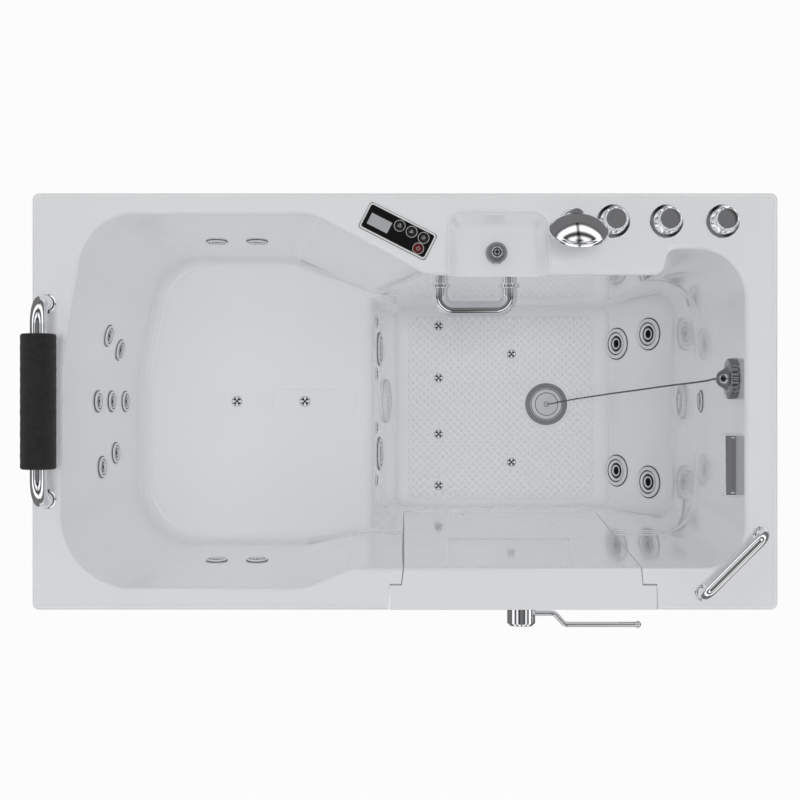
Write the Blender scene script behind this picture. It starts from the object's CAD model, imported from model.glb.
"""Walk-in bathtub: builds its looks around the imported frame. Lengths in the code are millimetres."""

import math

import bmesh
import bpy
from bpy.props import FloatProperty, FloatVectorProperty, IntProperty, PointerProperty
from mathutils import Matrix, Vector


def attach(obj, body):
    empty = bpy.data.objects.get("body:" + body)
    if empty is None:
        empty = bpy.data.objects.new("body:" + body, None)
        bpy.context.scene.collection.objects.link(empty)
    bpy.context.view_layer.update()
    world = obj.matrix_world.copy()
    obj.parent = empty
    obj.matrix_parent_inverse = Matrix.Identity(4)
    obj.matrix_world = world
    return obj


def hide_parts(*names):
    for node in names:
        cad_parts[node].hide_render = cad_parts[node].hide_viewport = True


bl_info = {
    "name": "Walk-in bathtub",
    "version": (1, 0, 0),
    "blender": (4, 5, 0),
    "location": "3D View > Sidebar > Bathtub",
    "description": "Builds a walk-in bathtub with a door, taps, jets and a stage",
    "category": "Object",
}

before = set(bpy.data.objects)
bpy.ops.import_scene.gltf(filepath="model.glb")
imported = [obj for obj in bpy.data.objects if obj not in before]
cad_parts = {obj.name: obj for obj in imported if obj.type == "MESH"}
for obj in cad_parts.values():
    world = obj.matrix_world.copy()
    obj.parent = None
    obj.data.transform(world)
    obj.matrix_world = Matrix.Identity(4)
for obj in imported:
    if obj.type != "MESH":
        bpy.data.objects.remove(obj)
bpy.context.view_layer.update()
MM = 0.001
WELD = 0.00001


# ---------------------------------------------------------------- sizes and colours


def length(name, default, text):
    """A size in metres."""
    return FloatProperty(name=name, description=text, default=default, min=0.0, subtype="DISTANCE", unit="LENGTH")


def whole(name, default, text, least):
    """A number of like things."""
    return IntProperty(name=name, description=text, default=default, min=least)


def colour(name, default, text):
    """A colour in linear RGB."""
    return FloatVectorProperty(
        name=name, description=text, default=default, size=3, min=0.0, max=1.0, subtype="COLOR"
    )


class TubSizes(bpy.types.PropertyGroup):
    """Sizes of the tub's visible parts"""

    lip: length("Lip", 0.04, "Depth of the turned-down lip")
    rim_corner: length("Rim corner", 0.012, "Rounding of the rim's corners in plan")
    rim_edge: length("Rim edge", 0.006, "Rounding of the rim's top edge")
    soft_edge: length("Soft edge", 0.0012, "Softening of the shell's creases")
    seam_edge: length("Seam edge", 0.0015, "Softening of the door's edges")
    pad_radius: length("Pad radius", 0.0315, "Radius of the foam pad")
    head_bar_radius: length("Head bar radius", 0.0145, "Radius of the bar in the foam pad")
    corner_bar_radius: length("Corner bar radius", 0.011, "Radius of the corner grab bar")
    wall_bar_radius: length("Wall bar radius", 0.0155, "Radius of the wall grab bar")
    small_jet_radius: length("Small jet radius", 0.0215, "Radius of the back and side jets")
    riser_jet_radius: length("Riser jet radius", 0.0365, "Radius of the jets under the seat")
    foot_jet_radius: length("Foot jet radius", 0.0375, "Radius of the jets in the foot panel")
    air_jet_radius: length("Air jet radius", 0.0138, "Radius of an air jet")
    suction_radius: length("Suction cover radius", 0.049, "Radius of the suction cover under the seat")
    knob_radius: length("Knob radius", 0.023, "Radius of a knob")
    knob_height: length("Knob height", 0.040, "Height of a knob")
    knob_flutes: whole("Knob flutes", 8, "Flutes round a knob", 3)
    chain_radius: length("Chain radius", 0.002, "Radius of the balls of the stopper's chain")
    chain_balls: whole("Chain balls", 156, "Balls on the stopper's chain", 2)


class TubColours(bpy.types.PropertyGroup):
    """Colours of the tub and its floor"""

    shell: colour("Shell", (0.80, 0.81, 0.825), "Acrylic of the shell")
    skirt: colour("Skirt", (0.80, 0.81, 0.825), "Skirt panels")
    door: colour("Door", (0.80, 0.81, 0.825), "Acrylic of the door")
    seal: colour("Seal", (0.42, 0.43, 0.45), "Door seal")
    chrome: colour("Chrome", (0.86, 0.87, 0.89), "Polished metal")
    steel: colour("Frame", (0.40, 0.41, 0.42), "Galvanised frame")
    foam: colour("Foam", (0.013, 0.013, 0.014), "Foam of the head rest")
    jet: colour("Jet", (0.84, 0.85, 0.87), "Bezels of the jets")
    nozzle: colour("Nozzle", (0.02, 0.02, 0.022), "Inside of the jets")
    white_plastic: colour("White plastic", (0.90, 0.91, 0.92), "Air jets")
    glass: colour("Panel glass", (0.006, 0.006, 0.007), "Glass of the control panel")
    display: colour("Display", (0.46, 0.47, 0.48), "Display of the control panel")
    key: colour("Key", (0.012, 0.012, 0.013), "Keys")
    red_key: colour("Power key", (0.11, 0.006, 0.008), "Power key")
    icon: colour("Icon", (0.75, 0.76, 0.77), "Rings and marks of the keys")
    brass: colour("Brass", (0.62, 0.44, 0.18), "Valve bodies")
    copper: colour("Copper", (0.60, 0.27, 0.15), "Supply pipes")
    pvc: colour("Pipe", (0.70, 0.70, 0.67), "Water and waste pipes")
    motor: colour("Motor", (0.018, 0.018, 0.02), "Pump and blower")
    grey_plastic: colour("Grey plastic", (0.44, 0.45, 0.46), "Control box and shower face")
    floor: colour("Floor", (0.86, 0.86, 0.86), "Studio floor")


def size(name):
    """A size of the property group, in millimetres."""
    return getattr(bpy.context.scene.tub_sizes, name) * 1000


def count(name):
    """A number of the property group."""
    return getattr(bpy.context.scene.tub_sizes, name)


def tint(name):
    """A colour of the property group."""
    return tuple(getattr(bpy.context.scene.tub_colours, name))


# ---------------------------------------------------------------- the basin's form, as in the frame

TUB_L, TUB_W, TUB_H = 1346, 752, 965
HALF_L, HALF_W = TUB_L / 2, TUB_W / 2
SHELL_T = 6
FLOOR_H, SEAT_Z, NOSE_Z = 86, 520, 516
BACK_X0, SEAT_X1 = -620, -67
PANEL_TOP, PANEL_H, PANEL_RUN = 280, 194, 134
BASIN_EDGE, SEAT_FILLET, FLOOR_FILLET, SEAT_NOSE, SLOPE_ROUND = 10, 40, 20, 28, 15
BACK_TILT, SIDE_TILT, DOOR_TILT, WALL_TILT = 9.6, 5.4, 3.4, 0.4
LOBE_TILT, FOOT_TILT, RISER_TILT = 2.9, 1.0, 6.7
LOBE_L, LOBE_STEP = 136, 12
BEND_Y, CORNER_IN_X = 60, 48


def rad(degrees):
    return math.radians(degrees)


def lean(z, degrees):
    """How far a wall of that tilt has come in at height z."""
    return (TUB_H - z) * math.tan(rad(degrees))


def back_x(z):
    return BACK_X0 + lean(z, BACK_TILT)


def seat_door_y(z):
    return -HALF_W + 40 + lean(z, SIDE_TILT)


def seat_wall_y(z):
    return HALF_W - 38 - lean(z, SIDE_TILT)


def door_y(z):
    return -HALF_W + 76 + lean(z, DOOR_TILT)


def tap_y(z):
    return HALF_W - 148 - lean(z, WALL_TILT)


def lobe_y(z):
    return HALF_W - 101 - lean(z, LOBE_TILT)


def foot_x(z):
    return HALF_L - 59 - lean(z, FOOT_TILT)


def riser_x(z):
    return SEAT_X1 + (SEAT_Z - z) * math.tan(rad(RISER_TILT))


def panel_x(z):
    return foot_x(PANEL_TOP) - (PANEL_TOP - z) * PANEL_RUN / PANEL_H


def seat_top(x):
    """Height of the seat, which slopes to its nose."""
    back = back_x(SEAT_Z)
    return SEAT_Z - (SEAT_Z - NOSE_Z) * (x - back) / (SEAT_X1 - back)


# Steps in each rounded corner of the basin
STEPS = (28, 6, 6, 20, 22, 8, 8, 8, 8, 26, 6)


def corner_points(before, corner, after, steps, offset):
    """Points of one rounded corner, from its entry to its exit, moved out by offset."""
    c = Vector(corner[:2])
    u, v = (Vector(before[:2]) - c).normalized(), (Vector(after[:2]) - c).normalized()
    swing = math.pi - math.acos(max(-1, min(1, u.dot(v))))
    bow = 2 / 3 if swing < 0.002 else 4 / 3 * math.tan(swing / 4) / math.tan(swing / 2)
    reach = corner[2]
    a, b = c + u * reach, c + u * reach * (1 - bow)
    e, f = c + v * reach * (1 - bow), c + v * reach
    made = []
    for i in range(steps + 1):
        t = i / steps
        s = 1 - t
        point = a * s**3 + b * 3 * s * s * t + e * 3 * s * t * t + f * t**3
        way = ((b - a) * s * s + (e - b) * 2 * s * t + (f - e) * t * t).normalized()
        made.append(point + Vector((way.y, -way.x)) * offset)
    return made


def outline(corners, offset=0, steps=STEPS):
    """Points of a closed outline with rounded corners (x, y, reach)."""
    n = len(corners)
    made = []
    for i in range(n):
        made += corner_points(corners[i - 1], corners[i], corners[(i + 1) % n], steps[i], offset)
    return made


def blend(first, second, k):
    """Corners a share k of the way from the first set to the second."""
    return [tuple(a + (b - a) * k for a, b in zip(p, q)) for p, q in zip(first, second)]


def wall_corners(z):
    """Corners of the basin above the seat."""
    slant_foot = SEAT_X1 + 107 - lean(z, 13.2)
    slant_back = SEAT_X1 - 99 - lean(z, 8.7)
    bend_back = SEAT_X1 - 111 - lean(z, 4.8)
    return [
        (back_x(z), seat_door_y(z), 130),
        (bend_back, seat_door_y(z), 15),
        (SEAT_X1 - 29, door_y(z), 15),
        (foot_x(z), door_y(z), 75),
        (foot_x(z), lobe_y(z), 88),
        (foot_x(z) - LOBE_L, lobe_y(z), 15),
        (foot_x(z) - LOBE_L - LOBE_STEP, tap_y(z), 16),
        (slant_foot, tap_y(z), 17),
        (slant_back, seat_wall_y(z), 17),
        (back_x(z) + CORNER_IN_X, seat_wall_y(z), 86),
        (back_x(z), BEND_Y, 26),
    ]


def pan_corners():
    """Corners of the pan of the seat, inside its fillet."""
    shifts = {0: (29, 13), 1: (0, 13), 8: (0, -13), 9: (29, -13), 10: (29, 0)}
    made = []
    for i, (x, y, cut) in enumerate(wall_corners(SEAT_Z)):
        dx, dy = shifts.get(i, (0, 0))
        made.append((x + dx, y + dy, cut))
    return made


def well_corners(z, x, tuck, cut, fx, ly, step, far=70):
    """Corners of the footwell, from the riser's door side round to the bend of the back wall."""
    return [
        (x, door_y(z) + tuck, cut),
        (x + 26, door_y(z) + tuck * 0.6, 6),
        (x + 64, door_y(z), 8),
        (fx, door_y(z), far),
        (fx, ly, far),
        (fx - LOBE_L, ly, step),
        (fx - LOBE_L - LOBE_STEP, tap_y(z), step + 1),
        (x + 64, tap_y(z), 8),
        (x + 26, tap_y(z) - tuck * 0.6, 6),
        (x, tap_y(z) - tuck, cut),
        (x, BEND_Y, 26),
    ]


def basin_levels(fine):
    """Levels (z, corners, offset) of the basin from the rim down to the floor."""
    turns = [rad(90 * i / fine) for i in range(fine + 1)]
    mouth = well_corners(NOSE_Z, SEAT_X1 - SEAT_NOSE, 14, 14, foot_x(NOSE_Z), lobe_y(NOSE_Z), 15)
    nose_end = NOSE_Z - SEAT_NOSE
    riser = well_corners(nose_end, riser_x(nose_end), 6, 16, foot_x(nose_end), lobe_y(nose_end), 15)
    z1, z2, z3 = PANEL_TOP + SLOPE_ROUND, PANEL_TOP - SLOPE_ROUND, FLOOR_H + FLOOR_FILLET
    head = well_corners(z1, riser_x(z1), 3, 20, foot_x(z1), lobe_y(PANEL_TOP), 15, 40)
    side = well_corners(z2, riser_x(z2), 3, 21, panel_x(z2), lobe_y(PANEL_TOP), 15, 26)
    foot = well_corners(z3, riser_x(z3), 3, 24, panel_x(z3), tap_y(z3), 5, 26)
    rim = wall_corners(TUB_H)
    over_seat = wall_corners(SEAT_Z + SEAT_FILLET)
    made = [(TUB_H - BASIN_EDGE * (1 - math.cos(a)), rim, BASIN_EDGE * (1 - math.sin(a))) for a in turns]
    made += [
        (SEAT_Z + SEAT_FILLET * (1 - math.sin(a)), blend(over_seat, pan_corners(), 1 - math.cos(a)), 0)
        for a in turns
    ]
    made += [(NOSE_Z - SEAT_NOSE * (1 - math.cos(a)), blend(mouth, riser, math.sin(a)), 0) for a in turns]
    made += [(z1, head, 0), (z2, side, 0)]
    made += [(z3 - FLOOR_FILLET * math.sin(a), foot, -FLOOR_FILLET * (1 - math.cos(a))) for a in turns]
    return made


# ---------------------------------------------------------------- places on the walls


def move(x, y, z):
    return Matrix.Translation((x, y, z))


def turn(degrees, axis):
    return Matrix.Rotation(rad(degrees), 4, axis)


def on_back(y, z):
    """A place on the back rest, with Z out of the wall."""
    run = seat_wall_y(z) - BEND_Y
    past = max(0, y - BEND_Y)
    swing = -math.degrees(math.atan2(CORNER_IN_X, run)) if past else 0
    return move(back_x(z) + CORNER_IN_X * past / run, y, z) @ turn(swing, "Z") @ turn(90 - BACK_TILT, "Y")


def on_door_side(x, z):
    return move(x, seat_door_y(z), z) @ turn(SIDE_TILT - 90, "X")


def on_wall_side(x, z):
    return move(x, seat_wall_y(z), z) @ turn(90 - SIDE_TILT, "X")


def on_tap_wall(x, z):
    return move(x, tap_y(z), z) @ turn(90 - WALL_TILT, "X")


def on_riser(y, z):
    return move(riser_x(z), y, z) @ turn(90 - RISER_TILT, "Y")


def on_foot_wall(y, z):
    return move(foot_x(z), y, z) @ turn(FOOT_TILT - 90, "Y")


def on_foot_panel(y, z):
    return move(panel_x(z), y, z) @ turn(-math.degrees(math.atan2(PANEL_H, PANEL_RUN)), "Y")


def on_seat(x):
    slope = math.degrees(math.atan2(4, SEAT_X1 - back_x(SEAT_Z)))
    return move(x, 0, seat_top(x) + (4 if x > SEAT_X1 - 182 else 0)) @ turn(slope, "Y")


BACK_SPOTS = ((0, 780), (0, 706), (0, 628), (127, 758), (-127, 758), (102, 683), (-102, 683))
FOOT_SPOTS = ((134, 128), (-162, 128), (153, 216), (-184, 216))
AT_BACK_JETS = [on_back(y, z) for y, z in BACK_SPOTS]
AT_SIDE_JETS = [place(x, 711) for x in (-290, -369) for place in (on_door_side, on_wall_side)]
AT_RISER_JETS = [on_riser(y, 405) for y in (-113, 113)]
AT_FOOT_JETS = [on_foot_panel(y, z) for y, z in FOOT_SPOTS]
AT_WALL_JET = [on_foot_wall(0, 577)]
FLOOR_AIR_X = (riser_x(FLOOR_H) + 98, riser_x(FLOOR_H) + 270)
AT_AIR_JETS = (
    [on_riser(y, 454) for y in (-168, -56, 58, 169)]
    + [on_seat(SEAT_X1 - 282), on_seat(SEAT_X1 - 140)]
    + [move(FLOOR_AIR_X[0], y, FLOOR_H) for y in (-199, -77.6, 54.7, 177.5)]
    + [move(FLOOR_AIR_X[1], y, FLOOR_H) for y in (-144, 111)]
)
VALVE_X, VALVE_Y = (375.5, 471.5, 573), 325
SOAP_X, SOAP_FLOOR, SOAP_L, SOAP_D = 167, 930, 188, 117
SPOUT_Y = tap_y(TUB_H) + 43
SHOWER_X, SHOWER_Y = 300, VALVE_Y
AT_VALVES = [move(x, VALVE_Y, TUB_H) for x in VALVE_X]
AT_SHOWER = move(SHOWER_X, SHOWER_Y, TUB_H)
AT_SPOUT = move(SOAP_X, SPOUT_Y, SOAP_FLOOR)
AT_SUCTION = (on_riser(0, 300), on_foot_wall(0, 394))
DRAIN = move(foot_x(TUB_H) - 278, -7, FLOOR_H)
AT_OVERFLOW = on_foot_wall(42, 889)
AT_WATERFALL = on_foot_wall(-117, 901)
AT_PANEL = move(SEAT_X1 + 54, HALF_W - 68.5, TUB_H) @ turn(-27, "Z")
PANEL_L, PANEL_W = 135.7, 52.5
KEYS = {"jets_key": (66.6, 16.3), "air_key": (90.8, 16.3), "light_key": (115, 16.3), "power_key": (115, 37.8)}
KEY_R = 9.3


# ---------------------------------------------------------------- mesh helpers


def loft(rings, capped=True):
    """A skin extruded from ring to ring; all rings have as many points."""
    bm = bmesh.new()
    verts = [bm.verts.new(p) for p in rings[0]]
    edges = [bm.edges.new((verts[i - 1], verts[i])) for i in range(len(verts))]
    if capped:
        bm.faces.new(verts)
    for points in rings[1:]:
        made = bmesh.ops.extrude_edge_only(bm, edges=edges)["geom"]
        fresh = {v for v in made if isinstance(v, bmesh.types.BMVert)}
        follow = []
        for vert in verts:
            follow.append(next(e.other_vert(vert) for e in vert.link_edges if e.other_vert(vert) in fresh))
        for vert, point in zip(follow, points):
            vert.co = point
        verts = follow
        edges = [bm.edges.get((verts[i - 1], verts[i])) for i in range(len(verts))]
    if capped:
        bm.faces.new(verts)
    bmesh.ops.recalc_face_normals(bm, faces=bm.faces[:])
    return bm


def circle(radius, z, steps=64, flutes=0, depth=0.0):
    """Points of a circle at height z, drawn in by flutes."""
    made = []
    for i in range(steps):
        a = 2 * math.pi * i / steps
        r = radius
        if flutes:
            wave = math.cos(flutes * a) * 0.5 + 0.5
            r -= depth * wave**1.5
        made.append((r * math.cos(a), r * math.sin(a), z))
    return made


def turned(profile, steps=64):
    """A profile of (radius, height) spun round Z, with its ends closed on the axis where the radius is 0."""
    bm = bmesh.new()
    verts = [bm.verts.new((r, 0, z)) for r, z in profile]
    for a, b in zip(verts, verts[1:]):
        bm.edges.new((a, b))
    bmesh.ops.spin(
        bm,
        geom=bm.verts[:] + bm.edges[:],
        cent=(0, 0, 0),
        axis=(0, 0, 1),
        angle=2 * math.pi,
        steps=steps,
        use_merge=True,
        use_duplicate=False,
    )
    bmesh.ops.remove_doubles(bm, verts=bm.verts[:], dist=1e-4)
    bmesh.ops.recalc_face_normals(bm, faces=bm.faces[:])
    return bm


def disc(radius, low, high, steps=32):
    """A closed cylinder from one height to another."""
    return turned([(0, low), (radius, low), (radius, high), (0, high)], steps)


def hoop(inner, outer, low, high, steps=48):
    """A flat ring with a square section."""
    return turned([(inner, low), (outer, low), (outer, high), (inner, high), (inner, low)], steps)


def arc(x, z, radius, start, end, steps=6):
    """Points of an arc, in degrees from the first axis."""
    made = []
    for i in range(steps + 1):
        a = rad(start + (end - start) * i / steps)
        made.append((x + radius * math.cos(a), z + radius * math.sin(a)))
    return made


def smooth_path(points, pieces=8):
    """A Catmull-Rom line through the points."""
    points = [Vector(p) for p in points]
    made = []
    last = len(points) - 1
    for i in range(last):
        p0, p1, p2, p3 = points[max(i - 1, 0)], points[i], points[i + 1], points[min(i + 2, last)]
        for j in range(pieces):
            f = j / pieces
            curve = (2 * p0 - 5 * p1 + 4 * p2 - p3) * f * f + (3 * p1 - p0 - 3 * p2 + p3) * f**3
            made.append(0.5 * (2 * p1 + (p2 - p0) * f + curve))
    return made + [points[last]]


def tube(points, radius, sides=32):
    """A round rod along the points."""
    points = [Vector(p) for p in points]
    round_it = [2 * math.pi * k / sides for k in range(sides)]
    rings = []
    side = None
    for i, point in enumerate(points):
        way = (points[min(i + 1, len(points) - 1)] - points[max(i - 1, 0)]).normalized()
        if side is None:
            side = way.orthogonal().normalized()
        side = (side - way * side.dot(way)).normalized()
        up = way.cross(side)
        rings.append([point + (side * math.cos(a) + up * math.sin(a)) * radius for a in round_it])
    return loft(rings)


def box_plan(x, y, corner, steps=6, inset=0):
    """Outline of a plate with round corners, drawn in by inset."""
    made = []
    for i, (cx, cy) in enumerate(((-x / 2, -y / 2), (x / 2, -y / 2), (x / 2, y / 2), (-x / 2, y / 2))):
        reach = max(corner - inset, 0.2)
        mx, my = cx - math.copysign(inset + reach, cx), cy - math.copysign(inset + reach, cy)
        made += arc(mx, my, reach, 180 + 90 * i, 270 + 90 * i, steps)
    return made


def rounded_box(x, y, z, corner, edge, steps=6):
    """A plate from z = 0 to z, with round corners in plan and a softened top edge."""
    levels = [(0, 0)] + [(edge - rise, z - edge + run) for rise, run in arc(0, 0, edge, 0, 90, steps)]
    return loft([[(px, py, height) for px, py in box_plan(x, y, corner, steps, inset)] for inset, height in levels])


def block(low, high):
    """A box between two corners."""
    bm = bmesh.new()
    bmesh.ops.create_cube(bm, size=1)
    span = [b - a for a, b in zip(low, high)]
    middle = [(a + b) / 2 for a, b in zip(low, high)]
    bmesh.ops.transform(bm, matrix=Matrix.Translation(middle) @ Matrix.Diagonal((*span, 1)), verts=bm.verts)
    return bm


def soften(bm, width, segments=3, least=30, where=None):
    """Bevels the creases sharper than least degrees."""
    bmesh.ops.recalc_face_normals(bm, faces=bm.faces[:])
    edges = [
        e for e in bm.edges
        if len(e.link_faces) == 2 and e.calc_face_angle(0) > rad(least) and (where is None or where(e))
    ]
    bmesh.ops.bevel(
        bm, geom=edges, offset=width, offset_type="OFFSET", segments=segments, profile=0.5, affect="EDGES",
        material=-1, clamp_overlap=True,
    )
    return bm


def placed(bm, matrix):
    bmesh.ops.transform(bm, matrix=matrix, verts=bm.verts)
    return bm


def joined(*parts):
    """One bmesh with all the parts' faces."""
    made = bmesh.new()
    for part in parts:
        mesh = bpy.data.meshes.new("part")
        part.to_mesh(mesh)
        part.free()
        made.from_mesh(mesh)
        bpy.data.meshes.remove(mesh)
    return made


def repeated(part, places):
    """One bmesh with a copy of the part at each place."""
    mesh = bpy.data.meshes.new("part")
    part.to_mesh(mesh)
    part.free()
    made = bmesh.new()
    for place in places:
        start = len(made.verts)
        made.from_mesh(mesh)
        made.verts.ensure_lookup_table()
        bmesh.ops.transform(made, matrix=place, verts=made.verts[start:])
    bpy.data.meshes.remove(mesh)
    return made


def off_axis(c):
    """Distance of a point from the Z axis."""
    return math.hypot(c.x, c.y)


def paint(bm, rule):
    """Gives each face the number of its material by its middle."""
    for face in bm.faces:
        face.material_index = rule(face.calc_center_median())
    return bm


def raw_object(name, bm):
    mesh = bpy.data.meshes.new(name)
    bm.to_mesh(mesh)
    bm.free()
    obj = bpy.data.objects.new(name, mesh)
    bpy.context.scene.collection.objects.link(obj)
    return obj


def carved(bm, *tools, operation="DIFFERENCE"):
    """The bmesh with the tools' bmeshes cut out of it or joined to it, one after another."""
    base = raw_object("base", bm)
    tools = [raw_object("tool", t) for t in tools]
    for tool in tools:
        step = base.modifiers.new("cut", "BOOLEAN")
        step.operation = operation
        step.solver = "MANIFOLD"
        step.object = tool
    bpy.context.view_layer.update()
    graph = bpy.context.evaluated_depsgraph_get()
    mesh = bpy.data.meshes.new_from_object(base.evaluated_get(graph))
    made = bmesh.new()
    made.from_mesh(mesh)
    bpy.data.meshes.remove(mesh)
    for obj in (base, *tools):
        gone = obj.data
        bpy.data.objects.remove(obj)
        bpy.data.meshes.remove(gone)
    return made


def soft_edges(obj, width, segments, least, harden):
    """Bevels the creases sharper than least degrees, with a live modifier."""
    bevel = obj.modifiers.new("Soft edges", "BEVEL")
    bevel.width, bevel.segments = width, segments
    bevel.limit_method, bevel.angle_limit = "ANGLE", rad(least)
    bevel.harden_normals = harden


def even_shading(obj):
    """Weighs the normals by face, so that flat faces look flat."""
    even = obj.modifiers.new("Even shading", "WEIGHTED_NORMAL")
    even.keep_sharp = True


def piece(name, bm, materials, body, nodes=(), crease=35, weighted=True):
    """Turns the bmesh, in millimetres, into a finished piece of the object, in metres."""
    bmesh.ops.transform(bm, matrix=Matrix.Scale(MM, 4), verts=bm.verts)
    obj = raw_object(name, bm)
    for made in materials if isinstance(materials, (list, tuple)) else [materials]:
        obj.data.materials.append(made)
    obj.data.shade_smooth()
    obj.data.set_sharp_from_angle(angle=rad(crease))
    if weighted:
        even_shading(obj)
    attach(obj, body)
    if nodes:
        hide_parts(*nodes)
    return obj


def dress(node, material, width=0.0, segments=2, least=35):
    """Gives a carried node its material and soft edges."""
    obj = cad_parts[node]
    obj.data.materials.clear()
    obj.data.materials.append(material)
    weld = obj.modifiers.new("Weld", "WELD")
    weld.merge_threshold = WELD
    if width:
        soft_edges(obj, width * MM, segments, least, True)
    even_shading(obj)


# ---------------------------------------------------------------- materials


def add(tree, kind, inputs=None, **settings):
    """A node with its settings, and its inputs linked or set."""
    new = tree.nodes.new(kind)
    for key, value in settings.items():
        setattr(new, key, value)
    for key, value in (inputs or {}).items():
        if isinstance(value, bpy.types.NodeSocket):
            tree.links.new(value, new.inputs[key])
        else:
            new.inputs[key].default_value = value
    return new


def math_node(tree, operation, first, second=0.0, third=0.0):
    return add(tree, "ShaderNodeMath", {0: first, 1: second, 2: third}, operation=operation).outputs[0]


def start_material(name):
    """A material with its tree and shader, or the one of that name without them."""
    made = bpy.data.materials.get(name)
    if made:
        return made, None, None
    made = bpy.data.materials.new(name)
    made.use_nodes = True
    tree = made.node_tree
    tree.nodes.clear()
    out = add(tree, "ShaderNodeOutputMaterial")
    shader = add(tree, "ShaderNodeBsdfPrincipled")
    tree.links.new(shader.outputs[0], out.inputs[0])
    return made, tree, shader


def noise(tree, scale, detail=3.0):
    """Noise on Object coordinates, from 0 to 1."""
    place = add(tree, "ShaderNodeTexCoord").outputs["Object"]
    return add(tree, "ShaderNodeTexNoise", {"Vector": place, "Scale": scale, "Detail": detail}).outputs["Fac"]


def spread(tree, factor, low, high):
    """Stretches the middle of a noise to the range from low to high."""
    return add(
        tree, "ShaderNodeMapRange", {"Value": factor, "From Min": 0.3, "From Max": 0.7, "To Min": low, "To Max": high}
    ).outputs[0]


def two_tone(tree, factor, base, vary):
    """A colour that drifts a little round the base."""
    dark = [max(0, c * (1 - vary)) for c in base]
    light = [min(1, c * (1 + vary)) for c in base]
    mix = add(tree, "ShaderNodeMix", {"Factor": spread(tree, factor, 0, 1)}, data_type="RGBA")
    mix.inputs["A"].default_value = (*dark, 1)
    mix.inputs["B"].default_value = (*light, 1)
    return mix.outputs["Result"]


def surface(
    name, base, rough, metal=0.0, vary=0.02, scale=6.0, rough_vary=0.03, grain=0.0, grain_scale=900.0,
    coat=0.0, specular=0.5, fill=0.0,
):
    """A procedural finish: drifting colour, uneven gloss and a fine grain."""
    made, tree, shader = start_material(name)
    if tree is None:
        return made
    tree.links.new(two_tone(tree, noise(tree, scale), base, vary), shader.inputs["Base Color"])
    patches = noise(tree, scale * 5, 4.0)
    tree.links.new(
        spread(tree, patches, max(rough - rough_vary, 0.0), rough + rough_vary), shader.inputs["Roughness"]
    )
    shader.inputs["Metallic"].default_value = metal
    shader.inputs["Specular IOR Level"].default_value = specular
    if coat:
        shader.inputs["Coat Weight"].default_value = coat
        shader.inputs["Coat Roughness"].default_value = 0.05
    if fill:
        shader.inputs["Emission Color"].default_value = (*base, 1)
        shader.inputs["Emission Strength"].default_value = fill
    if grain:
        fine = noise(tree, grain_scale, 2.0)
        bump = add(tree, "ShaderNodeBump", {"Height": fine, "Strength": 1.0, "Distance": grain * MM})
        tree.links.new(bump.outputs[0], shader.inputs["Normal"])
    return made


# Light that the pale bowl throws back on itself, as a share of its colour
FILL = 0.10


def acrylic(name, base):
    """Glossy cast acrylic with a faint ripple."""
    return surface(
        name, base, 0.18, vary=0.012, scale=2.2, rough_vary=0.03, coat=1.0, grain=0.004, grain_scale=60, fill=FILL
    )


def shell_acrylic():
    return acrylic("Tub acrylic", tint("shell"))


def chrome():
    return surface("Chrome", tint("chrome"), 0.045, metal=1.0, vary=0.015, scale=20, rough_vary=0.02)


def smoked_chrome():
    return surface("Dark chrome", (0.24, 0.245, 0.255), 0.05, metal=1.0, vary=0.03, scale=20, rough_vary=0.02)


def jet_plastic():
    return surface("Jet plastic", tint("jet"), 0.2, vary=0.03, scale=40, coat=0.5)


def nozzle_black():
    return surface("Nozzle", tint("nozzle"), 0.3, vary=0.1, scale=60)


def key_black():
    return surface("Key", tint("key"), 0.12, vary=0.1, scale=50, coat=0.6)


def foam():
    """Closed-cell foam: fine pores and a faint ribbing along the sleeve."""
    made, tree, shader = start_material("Foam")
    if tree is None:
        return made
    place = add(tree, "ShaderNodeTexCoord").outputs["Object"]
    cells = add(tree, "ShaderNodeTexVoronoi", {"Vector": place, "Scale": 900.0}).outputs["Distance"]
    wave = add(tree, "ShaderNodeTexWave", {
        "Vector": place, "Scale": 130.0, "Distortion": 1.6, "Detail": 2.0}, bands_direction="Y").outputs["Fac"]
    height = math_node(tree, "MULTIPLY_ADD", wave, 0.35, cells)
    tree.links.new(two_tone(tree, noise(tree, 40, 6.0), tint("foam"), 0.22), shader.inputs["Base Color"])
    bump = add(tree, "ShaderNodeBump", {"Height": height, "Strength": 1.0, "Distance": 0.0009})
    tree.links.new(bump.outputs[0], shader.inputs["Normal"])
    tree.links.new(spread(tree, noise(tree, 120), 0.62, 0.78), shader.inputs["Roughness"])
    shader.inputs["Sheen Weight"].default_value = 0.08
    return made


# ---------------------------------------------------------------- stage and cord

WHITE = (1, 1, 1, 1)
CAMERA_AT, LENS, SENSOR = (-0.009, 0.0027, 3.815), 71.08, 36
SUN_POWER, SUN_WIDTH = 0.87, 14
# The floor: half its side, how white the camera sees it, how much darker mirrors see it
FLOOR_HALF, FLOOR_WHITE, FLOOR_DIM = 25, 0.93, 0.86
# Brightness of the studio's sky by the sine of its elevation: for lighting, then for what polished pieces mirror.
# Mirrors see panels with gaps between them, up to SKY_TOP_FROM
SKY_TOP, SKY_TOP_FROM = 2.0, 0.93
SKY_LIGHT = (
    (0.0, 0.3), (0.33, 0.3), (0.37, 0.82), (0.63, 0.82), (0.67, 0.05), (0.83, 0.05), (0.87, 0.98), (0.93, 0.98),
    (0.97, 0.05), (1.0, 0.05),
)
SKY_SHINE = (
    (0.0, 0.12), (0.08, 0.2), (0.22, 1.5), (0.38, 1.5), (0.52, 0.12), (0.64, 0.05), (0.76, 1.1), (0.85, 1.2),
    (0.90, 0.05), (0.94, 0.03), (0.962, 0.17), (1.0, 0.17),
)


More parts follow.
